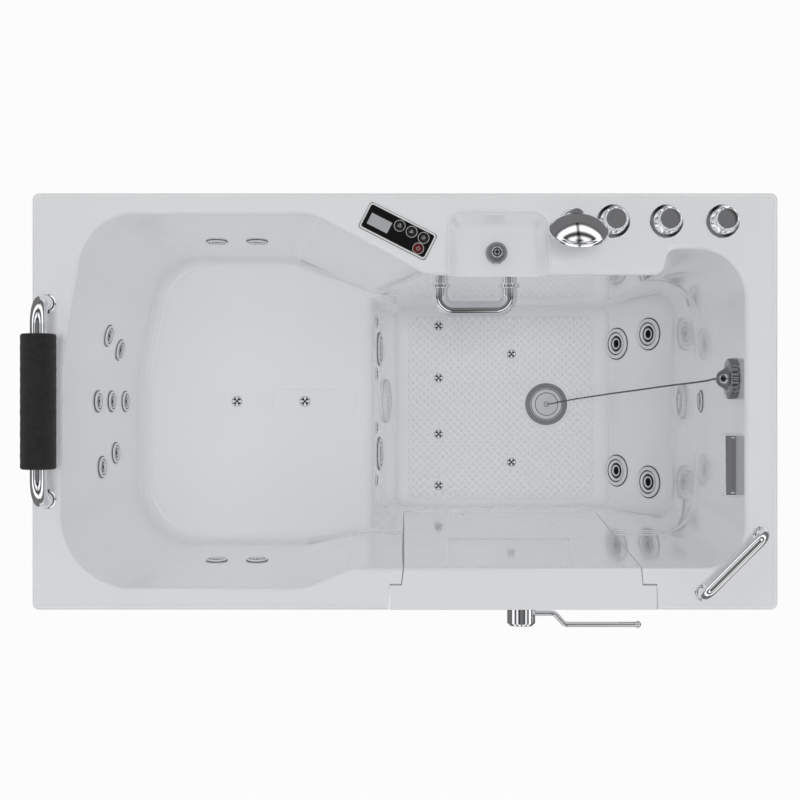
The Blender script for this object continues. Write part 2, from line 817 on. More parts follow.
class TUB_OT_stage(bpy.types.Operator):
    """Make the camera, the lamps, the world and the floor"""

    bl_idname = "tub.stage"
    bl_label = "Stage"

    def execute(self, context):
        scene = context.scene
        lens = bpy.data.cameras.new("Camera")
        lens.lens, lens.sensor_width = LENS, SENSOR
        lens.clip_start, lens.clip_end = 0.05, 60
        camera = bpy.data.objects.new("Camera", lens)
        camera.location = CAMERA_AT
        scene.collection.objects.link(camera)
        scene.camera = camera
        scene.view_settings.view_transform = "Standard"
        self.floor()
        self.world(scene)
        data = bpy.data.lights.new("Overhead", "SUN")
        data.energy, data.angle = SUN_POWER, rad(SUN_WIDTH)
        lamp = bpy.data.objects.new("Overhead", data)
        lamp.location, lamp.visible_glossy = (0, 0, 5), False
        scene.collection.objects.link(lamp)
        return {"FINISHED"}

    def floor(self):
        bm = bmesh.new()
        bmesh.ops.create_grid(bm, x_segments=1, y_segments=1, size=FLOOR_HALF)
        obj = raw_object("Studio_floor", bm)
        made = bpy.data.materials.new("Studio floor")
        made.use_nodes = True
        tree = made.node_tree
        tree.nodes.clear()
        path = add(tree, "ShaderNodeLightPath")
        seen = math_node(tree, "MAXIMUM", path.outputs["Is Camera Ray"], path.outputs["Is Glossy Ray"])
        seen = math_node(tree, "MAXIMUM", seen, path.outputs["Is Transmission Ray"])
        plain = add(tree, "ShaderNodeBsdfDiffuse", {"Color": two_tone(tree, noise(tree, 0.7), tint("floor"), 0.01)})
        # White to the camera, grey in mirrors
        shade = math_node(tree, "MULTIPLY_ADD", path.outputs["Is Glossy Ray"], -FLOOR_DIM, 1.0)
        white = add(tree, "ShaderNodeEmission", {"Color": WHITE, "Strength": shade})
        share = math_node(tree, "MULTIPLY", seen, FLOOR_WHITE)
        mix = add(tree, "ShaderNodeMixShader", {0: share, 1: plain.outputs[0], 2: white.outputs[0]})
        add(tree, "ShaderNodeOutputMaterial", {0: mix.outputs[0]})
        obj.data.materials.append(made)

    def sky(self, tree, height, stops):
        """Brightness of the sky by the sine of its elevation, from 0 to 1."""
        ramp = add(tree, "ShaderNodeValToRGB", {0: height})
        points = ramp.color_ramp.elements
        points[0].position, points[1].position = stops[0][0], stops[-1][0]
        for position, _ in stops[1:-1]:
            points.new(position)
        for point, (_, level) in zip(points, stops):
            share = level / SKY_TOP
            point.color = (share, share, share, 1)
        return math_node(tree, "MULTIPLY", ramp.outputs[0], SKY_TOP)

    def world(self, scene):
        world = bpy.data.worlds.new("Studio")
        scene.world = world
        world.use_nodes = True
        tree = world.node_tree
        tree.nodes.clear()
        path = add(tree, "ShaderNodeLightPath")
        way = add(tree, "ShaderNodeTexCoord").outputs["Generated"]
        east, north, height = add(tree, "ShaderNodeSeparateXYZ", {0: way}).outputs
        lit = add(tree, "ShaderNodeBackground", {"Color": WHITE, "Strength": self.sky(tree, height, SKY_LIGHT)})
        # Dark gaps between the panels that polished pieces mirror
        gap = math_node(tree, "ABSOLUTE", math_node(tree, "MULTIPLY", east, north))
        panels = add(tree, "ShaderNodeMapRange", {
            "Value": gap, "From Min": 0.02, "From Max": 0.09, "To Min": 0.2, "To Max": 1.0}).outputs[0]
        top = math_node(tree, "GREATER_THAN", height, SKY_TOP_FROM)
        panels = math_node(tree, "MAXIMUM", panels, top)
        mirrored = math_node(tree, "MULTIPLY", self.sky(tree, height, SKY_SHINE), panels)
        shine = add(tree, "ShaderNodeBackground", {"Color": WHITE, "Strength": mirrored})
        white = add(tree, "ShaderNodeBackground", {"Color": WHITE, "Strength": 1.0})
        glossy = path.outputs["Is Glossy Ray"]
        first = add(tree, "ShaderNodeMixShader", {0: glossy, 1: lit.outputs[0], 2: shine.outputs[0]})
        seen = math_node(tree, "MAXIMUM", path.outputs["Is Camera Ray"], path.outputs["Is Transmission Ray"])
        mix = add(tree, "ShaderNodeMixShader", {0: seen, 1: first.outputs[0], 2: white.outputs[0]})
        add(tree, "ShaderNodeOutputWorld", {0: mix.outputs[0]})


# Route of the chain from the stopper's ring to the overflow cover
CHAIN_POINTS = (
    (336, -7, 117.92), (345, -6, 120.7), (370, 0, 147), (405, 7, 201), (438, 13, 269), (470, 19, 353), (498, 24, 451),
    (522, 29, 551), (542, 33, 650), (558, 36, 748), (569.6, 39, 832), (573.8, 41, 862), (576.6, 42, 880),
)


def line_length(points):
    return sum((Vector(b) - Vector(a)).length for a, b in zip(points, points[1:]))


def even_points(points, number):
    """Points at equal steps along a line."""
    points = [Vector(p) for p in points]
    step = line_length(points) / (number - 1)
    made, walked, target = [points[0]], 0.0, step
    for a, b in zip(points, points[1:]):
        span = (b - a).length
        while walked + span >= target - 1e-9 and len(made) < number:
            made.append(a.lerp(b, (target - walked) / span))
            target += step
        walked += span
    while len(made) < number:
        made.append(points[-1])
    return made


class TUB_OT_ball_chain(bpy.types.Operator):
    """Make the stopper's ball chain"""

    bl_idname = "tub.ball_chain"
    bl_label = "Ball chain"

    def execute(self, context):
        radius, balls = size("chain_radius"), count("chain_balls")
        line = smooth_path(CHAIN_POINTS, 12)
        spots = even_points(line, balls)
        ball = bmesh.new()
        bmesh.ops.create_uvsphere(ball, u_segments=8, v_segments=6, radius=radius)
        beads = repeated(ball, [Matrix.Translation(p) for p in spots])
        wire = tube([spots[i] for i in range(0, balls, 3)] + [spots[-1]], radius * 0.35, 6)
        dull = surface("Chain steel", (0.16, 0.165, 0.17), 0.22, metal=0.8, vary=0.05, scale=60)
        route = [tuple(p * MM) for p in even_points(line, 40)]
        obj = piece("Ball_chain", joined(beads, wire), dull, "tub", ["ball_chain"], 80, False)
        return {"FINISHED"}


# ---------------------------------------------------------------- shell and door

DOOR_X0, DOOR_X1 = -27, 454
DOOR_FRONT, FLANGE_BACK, LANDING_Y = -376, -332, -329
DOOR_SKIN, DOOR_GAP, SEAM, DOOR_CORNER = 4, 3, 1.1, 22
SILL_Z, DOOR_Z0 = 178, 154
THROAT_X0, THROAT_X1, PLUG_FLARE = -3, 430, 12
BOLT_Y, BOLT_Z = -354, (805, 575, 345)
LATCH_X, LATCH_Z, HUB_Y = 225, 765, -396.5


def flange_corners(inset):
    """Corners of the door's outer flange, seen from the front."""
    x0, x1, z0 = DOOR_X0 + inset, DOOR_X1 - inset, DOOR_Z0 + inset
    return [(x0, z0, DOOR_CORNER), (x1, z0, DOOR_CORNER), (x1, TUB_H, 0.5), (x0, TUB_H, 0.5)]


def plug_corners(gap, draft_top, draft_low):
    """Corners of the door's inner plug, seen from the front."""
    return [
        (THROAT_X0 + gap - draft_low, SILL_Z + gap, DOOR_CORNER),
        (THROAT_X1 + PLUG_FLARE - gap, SILL_Z + gap, DOOR_CORNER),
        (THROAT_X1 - gap, TUB_H, 0.5),
        (THROAT_X0 + gap - draft_top, TUB_H, 0.5),
    ]


DOOR_STEPS = (12, 12, 1, 1)
PLUG_DRAFT = (4, 14)
PLUG_END_Y = door_y(SILL_Z) + 1


def topped(z, top):
    """A height of a door outline, with its top edge moved to top."""
    return z if z < TUB_H - 1 or top is None else top


def door_ring(corners, y, top=None):
    """Points of a door outline at depth y."""
    return [(p.x, y, topped(p.y, top)) for p in outline(corners, 0, DOOR_STEPS)]


def plug_form(gap_out, gap_in, y0, face, top=None):
    """The tapered plug or its throat from y0 in to the face, a function of the height."""
    forms = ((gap_out, PLUG_DRAFT), (gap_in, PLUG_DRAFT), (gap_in, (0, 0)))
    start, wide, narrow = (outline(plug_corners(gap, *draft), 0, DOOR_STEPS) for gap, draft in forms)
    first, last = [], []
    for p, a, b in zip(start, wide, narrow):
        z = topped(a.y, top)
        y = face(z)
        last.append((a.x + (b.x - a.x) * (y - y0) / (PLUG_END_Y - y0), y, z))
        first.append((p.x, y0, topped(p.y, top)))
    return loft([first, last])


def hole(place, radius):
    """The tool that bores a wall at a fitting's place."""
    return placed(disc(radius, -18, 6), place)


# Places and radii of the bores for the fittings of one size
BORES = (
    (AT_WALL_JET, 15.2), (AT_AIR_JETS, 6.6), (AT_SUCTION[:1], 31), (AT_SUCTION[1:], 24.6), ([AT_OVERFLOW], 14.6),
    ([AT_WATERFALL], 9.6), ([DRAIN], 30.6), (AT_VALVES, 15.6), ([AT_SHOWER], 16.6), ([AT_SPOUT], 9.6),
)


class TUB_OT_shell(bpy.types.Operator):
    """Mould the shell: deck, lip, basin, soap recess and door surround"""

    bl_idname = "tub.shell"
    bl_label = "Shell"

    def basin(self, offset, drop, first):
        """The basin's form, grown by offset and lowered by drop, from the height first down."""
        rings = [[(p.x, p.y, first) for p in outline(wall_corners(TUB_H), BASIN_EDGE + offset)]]
        for z, corners, out in basin_levels(9):
            rings.append([(p.x, p.y, z - drop) for p in outline(corners, out + offset)])
        return loft(rings)

    def deck(self):
        """The deck with a fine line along its edge."""
        lip, edge = size("lip"), size("rim_edge")
        slab = placed(rounded_box(TUB_L, TUB_W, lip, size("rim_corner"), edge, 8), move(0, 0, TUB_H - lip))
        rings = []
        for inset, rise in ((8, 1), (8, 0), (8.6, -1), (9.4, -1), (10, 0), (10, 1), (8, 1)):
            plan = box_plan(TUB_L - 2 * inset, TUB_W - 2 * inset, 6)
            rings.append([(x, y, TUB_H + rise) for x, y in plan])
        groove = loft(rings, False)
        bmesh.ops.remove_doubles(groove, verts=groove.verts[:], dist=0.001)
        bmesh.ops.recalc_face_normals(groove, faces=groove.faces[:])
        return carved(slab, groove)

    def soap(self, grow, top, front):
        """The recess, open to the basin at its front, with bevelled sides and a soft turn at its floor."""
        low = SOAP_FLOOR - TUB_H
        profile = [(3, -4.5), (17, low + 9), (19.5, low + 4.5), (22, low + 1.8), (25.5, low + 0.3), (29, low)]
        if not grow:
            profile = [(-4.5, 1), (-4.5, 0), (-2, -0.5), (0.6, -1.9)] + profile
        rings = []
        for inset, drop in profile:
            inset -= grow
            height = min(TUB_H + drop - grow, top)
            x0, x1 = SOAP_X - SOAP_L / 2 + inset, SOAP_X + SOAP_L / 2 - inset
            back, r = tap_y(TUB_H) + SOAP_D - inset, 24 - 0.4 * inset
            plan = [(x0, front), (x1, front)]
            plan += arc(x1 - r, back - r, r, 0, 90, 10) + arc(x0 + r, back - r, r, 90, 180, 10)
            rings.append([(x, y, height) for x, y in plan])
        return loft(rings)

    def rib(self):
        """The raised rib down the middle of the seat."""
        back, front = SEAT_X1 - 182, SEAT_X1 - 57
        rings = []
        for height, radius in ((-1, 27), (0, 26), (2.2, 23), (3.6, 20), (4, 16)):
            plan = []
            for x, start in ((front, -90), (back, 90)):
                for k in range(17):
                    a = rad(start + 180 * k / 16)
                    plan.append((x + radius * math.cos(a), radius * math.sin(a), seat_top(x) + height))
            rings.append(plan)
        return loft(rings)

    def execute(self, context):
        inside = TUB_H - SHELL_T / 2
        frame_corners = flange_corners(-DOOR_GAP - SHELL_T)
        surround = loft([door_ring(frame_corners, y, inside) for y in (DOOR_FRONT, LANDING_Y + SHELL_T)])
        walls = plug_form(-SHELL_T, -SHELL_T, LANDING_Y, lambda z: door_y(z) + SHELL_T / 2, inside)
        under = block(
            (-HALF_L + SHELL_T, -HALF_W + SHELL_T, TUB_H - size("lip") - 1),
            (HALF_L - SHELL_T, HALF_W - SHELL_T, TUB_H - SHELL_T),
        )
        solid = carved(self.deck(), under)
        outer_basin = self.basin(SHELL_T, SHELL_T, inside)
        outer_soap = self.soap(SHELL_T, TUB_H - SHELL_T, tap_y(TUB_H) + 1)
        solid = carved(solid, outer_basin, outer_soap, surround, walls, operation="UNION")
        hollow = carved(self.basin(0, 0, TUB_H + 2), self.rib())
        gaps = ((DOOR_GAP, DOOR_FRONT - 1), (SEAM, LANDING_Y))
        rebate = loft([door_ring(flange_corners(-gap), y, TUB_H + 2) for gap, y in gaps])
        throat = plug_form(0, 4 - SEAM, LANDING_Y - 1, lambda z: door_y(z) + 30, TUB_H + 2)
        tools = [hollow, self.soap(0, TUB_H + 1, tap_y(TUB_H) - 20), rebate, throat]
        small, large, foot = (size(f"{name}_jet_radius") * 0.62 + 0.6 for name in ("small", "riser", "foot"))
        jets = ((AT_BACK_JETS + AT_SIDE_JETS, small), (AT_RISER_JETS, large), (AT_FOOT_JETS, foot))
        for spots, radius in jets + BORES:
            tools += [hole(spot, radius) for spot in spots]
        tools.append(repeated(disc(8, 0, 12, 24), [move(-25, BOLT_Y, z) @ turn(-90, "Y") for z in BOLT_Z]))
        solid = carved(solid, *tools)
        bmesh.ops.remove_doubles(solid, verts=solid.verts[:], dist=0.01)
        obj = piece("Tub_body", solid, shell_acrylic(), "tub", ["tub_shell"], 28, False)
        soft_edges(obj, context.scene.tub_sizes.soft_edge, 2, 35, False)
        even_shading(obj)
        return {"FINISHED"}


TREAD_X, TREAD_Y, TREAD_HALF_X, TREAD_HALF_Y, TREAD_ROUND = 229, -16, 219, 216, 18
TREAD_PITCH, TREAD_RISE, TREAD_STEP, TREAD_GROOVE = 17.6, 2.6, 2.2, 0.5


class TUB_OT_tread(bpy.types.Operator):
    """Mould the anti-slip tread of the footwell floor"""

    bl_idname = "tub.tread"
    bl_label = "Tread"

    def rise(self, x, y, holes):
        """Height of the crossed ribs at a place on the floor, sunk at the tread's border and round the fittings."""
        over = (abs(x - TREAD_X) - TREAD_HALF_X, abs(y - TREAD_Y) - TREAD_HALF_Y)
        reach = math.hypot(*(max(v + TREAD_ROUND, 0) for v in over))
        share = min(TREAD_ROUND - reach, *(math.hypot(x - hx, y - hy) - r for hx, hy, r in holes)) / 4
        turn_rate = 2 * math.pi / TREAD_PITCH
        ribs = sum(max(0, math.sin(turn_rate * (x + way * abs(y)))) for way in (-1, 1))
        return (ribs * 0.6 * TREAD_RISE + 0.25) * max(0, min(1, share)) - 0.2

    def execute(self, context):
        steps = [round(2 * half / TREAD_STEP) for half in (TREAD_HALF_X, TREAD_HALF_Y)]
        bm = bmesh.new()
        bmesh.ops.create_grid(bm, x_segments=steps[0], y_segments=steps[1], size=1)
        bmesh.ops.scale(bm, vec=(TREAD_HALF_X, TREAD_HALF_Y, 1), verts=bm.verts)
        drain = DRAIN.translation
        holes = [(drain.x, drain.y, 52)]
        holes += [(p.translation.x, p.translation.y, 16.5) for p in AT_AIR_JETS if p.translation.z < FLOOR_H + 1]
        for vert in bm.verts:
            x, y = vert.co.x + TREAD_X, vert.co.y + TREAD_Y
            vert.co = (x, y, FLOOR_H + self.rise(x, y, holes))
        paint(bm, lambda c: 1 if FLOOR_H - 0.1 < c.z < FLOOR_H + TREAD_GROOVE else 0)
        groove = acrylic("Tread groove", tuple(v * 0.9 for v in tint("shell")))
        finish = [shell_acrylic(), groove]
        obj = piece("Tread", bm, finish, "tub", (), 80, False)
        body = obj.modifiers.new("Body", "SOLIDIFY")
        body.thickness, body.offset = 0.0015, -1
        return {"FINISHED"}


# The sunk panel in the door's inner face: its middle width, its height, its middle's height, and the places of its
# left and right sides as (top, bottom)
RELIEF_W, RELIEF_H, RELIEF_Z = 239, 360, 773
RELIEF_SIDES = ((77, 88), (297, 336))


class TUB_OT_door(bpy.types.Operator):
    """Make the door's outer and inner mouldings and its seal"""

    bl_idname = "tub.door"
    bl_label = "Door"

    def execute(self, context):
        finish = acrylic("Door acrylic", tint("door"))
        seam = size("seam_edge")
        flares = ((1.2, DOOR_FRONT), (0.2, FLANGE_BACK - DOOR_SKIN))
        outer = loft([door_ring(flange_corners(-flare), y) for flare, y in flares])
        depths = (DOOR_FRONT + DOOR_SKIN, FLANGE_BACK)
        pocket = loft([door_ring(flange_corners(DOOR_SKIN), y, TUB_H - DOOR_SKIN) for y in depths])
        soften(outer, 3, 5, 60, lambda e: min(v.co.y for v in e.verts) < DOOR_FRONT + 0.1)
        spindle = placed(disc(9, 0, 8), move(LATCH_X, DOOR_FRONT - 1, LATCH_Z) @ turn(-90, "X"))
        bolts = repeated(disc(6.1, 0, 8, 24), [move(DOOR_X0 - 1, BOLT_Y, z) @ turn(90, "Y") for z in BOLT_Z])
        outer = carved(outer, pocket, spindle, bolts)
        piece("Door_outer", outer, finish, "door", ["door_outer"])

        plate = loft([door_ring(flange_corners(0), y) for y in (FLANGE_BACK - DOOR_SKIN, FLANGE_BACK)])
        plug = plug_form(SEAM, 4, FLANGE_BACK - 1, door_y)
        soften(plug, 9, 7, 60, lambda e: all(v.co.z > TUB_H - 1 and v.co.y > -305 for v in e.verts))
        below = TUB_H - 12
        soften(
            plug, seam, 3, 30,
            lambda e: all(v.co.y > -310 for v in e.verts) and min(v.co.z for v in e.verts) < below,
        )
        inner = carved(plate, plug, operation="UNION")
        relief = []
        for grow, depth in ((-4, 4.0), (-1.2, 2.8), (0, 0.4), (2.5, -3)):
            ring = []
            for x, z in box_plan(RELIEF_W + 2 * grow, RELIEF_H + 2 * grow, 7 + grow):
                low, share = 0.5 - z / RELIEF_H, x / RELIEF_W + 0.5
                left, right = (top + (bottom - top) * low for top, bottom in RELIEF_SIDES)
                ring.append((left + share * (right - left), door_y(z + RELIEF_Z) - depth, z + RELIEF_Z))
            relief.append(ring)
        rib = [(0, -3), (2.6, 0), (4.2, 26), (3.6, 120), (2.4, 240), (0, 244)]
        spots = [move(x, door_y(442) - 2.2, 442) @ turn(180 + DOOR_TILT, "X") for x in (125, 318)]
        ribs = [placed(turned(rib, 16), spot) for spot in spots]
        hollow = plug_form(8, 8, FLANGE_BACK - DOOR_SKIN - 2, lambda z: door_y(z) - 8, TUB_H - DOOR_SKIN)
        inner = carved(inner, hollow, loft(relief))
        inner = carved(inner, *ribs, operation="UNION")
        piece("Door_inner", inner, finish, "door", ["door_inner"])
        rubber = surface("Seal rubber", tint("seal"), 0.5, vary=0.08, scale=30, grain=0.05)
        dress("door_seal", rubber, 0.8)
        return {"FINISHED"}


class TUB_OT_skirts(bpy.types.Operator):
    """Dress the skirt panels and their screws"""

    bl_idname = "tub.skirts"
    bl_label = "Skirts"

    def execute(self, context):
        sheet = acrylic("Skirt sheet", tint("skirt"))
        for node in ("front_skirt", "back_end_skirt", "foot_end_skirt"):
            dress(node, sheet)
        dress("skirt_screws", chrome(), 0.6)
        return {"FINISHED"}


# ---------------------------------------------------------------- bars and pad


def bar_path(span, rise, bend):
    """Centre line of a grab bar: up a post, along X and down again."""
    line = [(-span / 2, 0.2), (-span / 2, (rise - bend) * 0.5)]
    line += arc(bend - span / 2, rise - bend, bend, 180, 90, 15)
    return [(x, 0, z) for x, z in line] + [(-x, 0, z) for x, z in reversed(line)]


def bar_flange(radius, bore):
    """The round cover at the foot of a bar."""
    profile = [(bore + 0.1, 0), (radius, 0)] + arc(radius - 2.4, 2.4, 2.4, 0, 80, 6)
    return turned(profile + [(bore + 1.4, 5), (bore + 0.1, 4.2), (bore + 0.1, 0)])


HEAD_SPAN, CORNER_SPAN, WALL_SPAN = 353, 148, 135
HEAD_RISE, PAD_HALF = 69, 119.5
AT_HEAD_BAR = move(-646, 0, TUB_H) @ turn(90, "Z")
CORNER_OFF = CORNER_SPAN / math.sqrt(8)
AT_CORNER_BAR = move(HALF_L - 31.5 - CORNER_OFF, -HALF_W + 31.5 + CORNER_OFF, TUB_H) @ turn(45, "Z")
AT_WALL_BAR = on_tap_wall(137.5, 715)


class TUB_OT_bars(bpy.types.Operator):
    """Make the grab bars with their flanges and the foam pad"""

    bl_idname = "tub.bars"
    bl_label = "Grab bars"

    def execute(self, context):
        finish = chrome()
        flanges = []
        for name, place, span, rise, bend, radius, more in (
            ("Headrest_bar", AT_HEAD_BAR, HEAD_SPAN, HEAD_RISE, 40, size("head_bar_radius"), 4),
            ("Corner_grab_bar", AT_CORNER_BAR, CORNER_SPAN, 33, 17, size("corner_bar_radius"), 4.5),
            ("Wall_grab_bar", AT_WALL_BAR, WALL_SPAN, 45, 25, size("wall_bar_radius"), 5),
        ):
            bar = placed(tube(bar_path(span, rise, bend), radius, 48), place)
            piece(name, bar, finish, "tub", [name.lower()], 60, False)
            flange = bar_flange(radius + more, radius)
            flanges.append(repeated(flange, [place @ move(s * span / 2, 0, 0) for s in (-1, 1)]))
        piece("Bar_flanges", joined(*flanges), finish, "tub", ["bar_flanges"])
        radius, half = size("pad_radius"), PAD_HALF
        bore = size("head_bar_radius") + 0.35
        sleeve = [(bore, -half + 2)] + arc(bore + 3, -half + 3, 3, 200, 270, 4)
        sleeve += arc(radius - 5, -half + 5, 5, -90, 0, 8)
        # The foam is a little uneven along its length
        for i in range(1, 24):
            z = -half + 5 + (2 * half - 10) * i / 24
            sleeve.append((radius - 0.35 * (0.5 - 0.5 * math.cos(i * math.pi)) - 0.1 * math.sin(i * 1.7), z))
        sleeve += arc(radius - 5, half - 5, 5, 0, 90, 8) + arc(bore + 3, half - 3, 3, 90, 160, 4)
        sleeve += [(bore, half - 2), (bore, -half + 2)]
        pad = placed(turned(sleeve, 72), AT_HEAD_BAR @ move(0, 0, HEAD_RISE) @ turn(90, "Y"))
        obj = piece("Headrest_pad", pad, foam(), "tub", ["headrest_pad"], 60, False)
        return {"FINISHED"}


# ---------------------------------------------------------------- taps, spouts and shower


class TUB_OT_taps(bpy.types.Operator):
    """Make the valve flanges and the fluted knobs"""

    bl_idname = "tub.taps"
    bl_label = "Taps"

    def knob(self):
        """Levels of (share of the radius, height of 40, depth of the flutes)."""
        radius, height, flutes = size("knob_radius"), size("knob_height"), count("knob_flutes")
        rings = []
        for share, z, depth in (
            (0.94, 0, 0), (1.0, 1.2, 0), (1.0, 3, 0), (1.0, 5, 2.2), (1.0, 8, 3.4), (1.0, 28, 3.4), (0.985, 31, 3.2),
            (0.94, 34, 2.4), (0.88, 36, 1.2), (0.845, 36.8, 0.3), (0.82, 37, 0), (0.805, 37.4, 0), (0.805, 38.6, 0),
            (0.79, 39.5, 0), (0.76, 40, 0), (0.3, 40, 0),
        ):
            rings.append(circle(radius * share, z * height / 40, flutes * 14, flutes if depth else 0, depth))
        return loft(rings)

    def execute(self, context):
        finish = chrome()
        edge = [(6, 0), (31, 0), (31, 2.6)] + arc(29.6, 2.7, 1.4, 0, 82, 5)
        flange = turned(edge + [(24, 4.9), (23.2, 5.5), (6, 5.5), (6, 0)], 96)
        piece("Valve_flanges", repeated(flange, AT_VALVES), finish, "tub", ["valve_flanges"])
        for body, place in zip(("hot", "diverter", "cold"), AT_VALVES):
            knob = placed(self.knob(), place @ move(0, 0, 6))
            piece(f"{body.capitalize()}_knob", knob, finish, body, [f"{body}_knob"], 40)
        dress("valve_bodies", surface("Brass", tint("brass"), 0.3, metal=1.0, vary=0.1, scale=30, grain=0.05), 0.8)
        dress("supply_pipes", surface("Copper", tint("copper"), 0.28, metal=1.0, vary=0.18, scale=18))
        return {"FINISHED"}


class TUB_OT_shower(bpy.types.Operator):
    """Make the hand shower, its face and its sleeve"""

    bl_idname = "tub.shower"
    bl_label = "Hand shower"

    def execute(self, context):
        finish = chrome()
        head = move(SHOWER_X, SHOWER_Y - 30, TUB_H + 120) @ turn(-55, "X")
        dome = turned(
            [(0, -3.9), (47.9, -3.9), (48, -4), (50.5, -4)] + arc(50.4, -2.4, 1.6, -70, 0, 4)
            + [(52, 1)] + arc(47, 1, 5, 10, 75, 5)
            + [(46.5, 8.2), (42, 12.0), (36, 15.8), (29, 19.2), (21, 22.2), (12, 24.3), (5, 24.9), (0, 25)],
            96,
        )
        placed(dome, head)
        grip = tube(smooth_path([(SHOWER_X, SHOWER_Y, z) for z in (935, 985, 1030, 1054)], 6), 13, 48)
        piece("Hand_shower", joined(dome, grip), finish, "shower", ["hand_shower"], 50)
        plate = turned([(0, -4.2), (12, -4.3), (44, -4.2), (46.8, -3.9), (47.7, -3.2), (47.7, -0.2), (0, -0.2)], 72)
        nub = turned([(0, -6), (1.2, -6), (1.9, -5.2), (2, -4), (0, -4)], 10)
        rows = ((8, 14), (14, 24), (18, 33), (24, 41))
        spots = [turn(360 * k / n, "Z") @ move(r, 0, 0) for n, r in rows for k in range(n)]
        face = placed(joined(plate, repeated(nub, spots)), head)
        plastic = surface("Shower face", tint("grey_plastic"), 0.35, vary=0.05, scale=40, grain=0.02)
        piece("Shower_face", face, plastic, "shower", ["shower_face"])
        sleeve = turned(
            [(13.1, -33), (16, -34), (16, 0), (22, 0), (22, 1.5)] + arc(20.8, 2, 1.2, 0, 60, 3)
            + [(19.4, 12), (18.4, 18)] + arc(16.6, 18.4, 1.6, 10, 90, 5) + [(14.4, 20), (13.2, 19), (13.2, -33)],
            72,
        )
        nut = loft([circle(21, z, 6) for z in (-12, -6.2)])
        piece("Shower_sleeve", placed(joined(sleeve, nut), AT_SHOWER), finish, "tub", ["shower_sleeve"])
        return {"FINISHED"}


class TUB_OT_spouts(bpy.types.Operator):
    """Make the fill spout and the waterfall spout"""

    bl_idname = "tub.spouts"
    bl_label = "Spouts"

    def execute(self, context):
        crown = [(20 * math.cos(rad(a)), 6 + 28 * math.sin(rad(a))) for a in range(6, 90, 6)]
        dome = turned([(0, 0), (19.6, 0), (20, 0.5), (20, 6), *crown, (0, 34)], 72)
        tail = disc(9, -10, 1)
        slot = placed(rounded_box(17, 12, 20, 5.5, 0.2, 6), move(0, -24, 5.6) @ turn(-90, "X"))
        spout = placed(carved(carved(dome, tail, operation="UNION"), slot), AT_SPOUT)
        piece("Fill_spout", spout, smoked_chrome(), "tub", ["fill_spout"])
        body = rounded_box(48, 116, 27, 4, 3, 6)
        soften(body, 1.0, 2, 60)
        mouth = placed(rounded_box(22, 104, 7, 3, 0.3, 4), move(22, 0, 9))
        fall = placed(joined(carved(body, mouth), disc(9, -14, 1)), AT_WATERFALL)
        piece("Waterfall_spout", fall, chrome(), "tub", ["waterfall_spout"])
        return {"FINISHED"}


class TUB_OT_waste(bpy.types.Operator):
    """Make the overflow cover, the drain flange and the stopper, and dress the waste pipes"""

    bl_idname = "tub.waste"
    bl_label = "Waste"

    def execute(self, context):
        rings = []
        for radius, z, depth in (
            (37, 0.1, 0), (38, 0.8, 0), (38, 2.6, 0), (38, 3.2, 1.4), (38, 12.5, 1.4), (37, 14.6, 1.0), (35, 15.9, 0),
            (30, 16.4, 0), (24, 17, 0), (21.6, 18.6, 0), (19.4, 21.2, 0), (17, 24.2, 0), (14.6, 28.6, 0),
            (12.4, 31.8, 0), (9.6, 34.2, 0), (6, 35.7, 0), (2, 36, 0),
        ):
            rings.append(circle(radius, z, 24 * 8, 24 if depth else 0, depth))
        cover = joined(loft(rings), disc(14, -12, 0.6))
        piece("Overflow_cover", placed(cover, AT_OVERFLOW), smoked_chrome(), "tub", ["overflow_cover"])
        flange = turned(
            [(27, -42), (30, -42), (30, 0), (49.2, 0.05), (49.5, 0.4)] + arc(47.6, 1.1, 1.9, 0, 80, 5)
            + [(40, 3), (32, 2.6), (27, 1), (27, -42)],
            96,
        )
        metal = surface("Drain metal", (0.30, 0.305, 0.315), 0.25, metal=0.3, vary=0.04, scale=40)
        piece("Drain_flange", placed(flange, DRAIN), metal, "tub", ["drain_flange"])
        stopper = turned(
            [(0, -10), (26, -10), (26, 3), (37.6, 3), (38, 3.6), (37.6, 4.4), (36.6, 4.8), (36.2, 4.5), (35.4, 4.5),
             (35, 5.1), (27.4, 8.2), (27, 7.8), (26.2, 7.8), (25.8, 8.6), (20, 9.6), (6, 9.9), (5.4, 10.3), (5, 14),
             (4.4, 15), (0, 15)],
            96,
        )
        loop = tube([(x, y, 0) for x, y in arc(0, 0, 7, 0, 360, 36)], 1.6, 12)
        placed(loop, move(0, 0, 21) @ turn(90, "X"))
        lid = surface("Stopper", (0.74, 0.75, 0.77), 0.24, metal=0.15, vary=0.03, scale=30, coat=0.6)
        dark = nozzle_black()
        grooves = ((35.1, 37), (25.6, 27.3), (4.9, 6.2))
        paint(stopper, lambda c: int(any(low < off_axis(c) < high for low, high in grooves)))
        stopper = placed(joined(stopper, loop), DRAIN)
        piece("Drain_stopper", stopper, [lid, dark], "stopper", ["drain_stopper"])
        pipe = surface("Pipe plastic", tint("pvc"), 0.34, vary=0.04, scale=14, grain=0.02)
        for node in ("overflow_pipe", "drain_body", "waste_pipe", "water_pipes", "air_pipes"):
            dress(node, pipe, 0.8, 2, 50)
        return {"FINISHED"}


# ---------------------------------------------------------------- jets


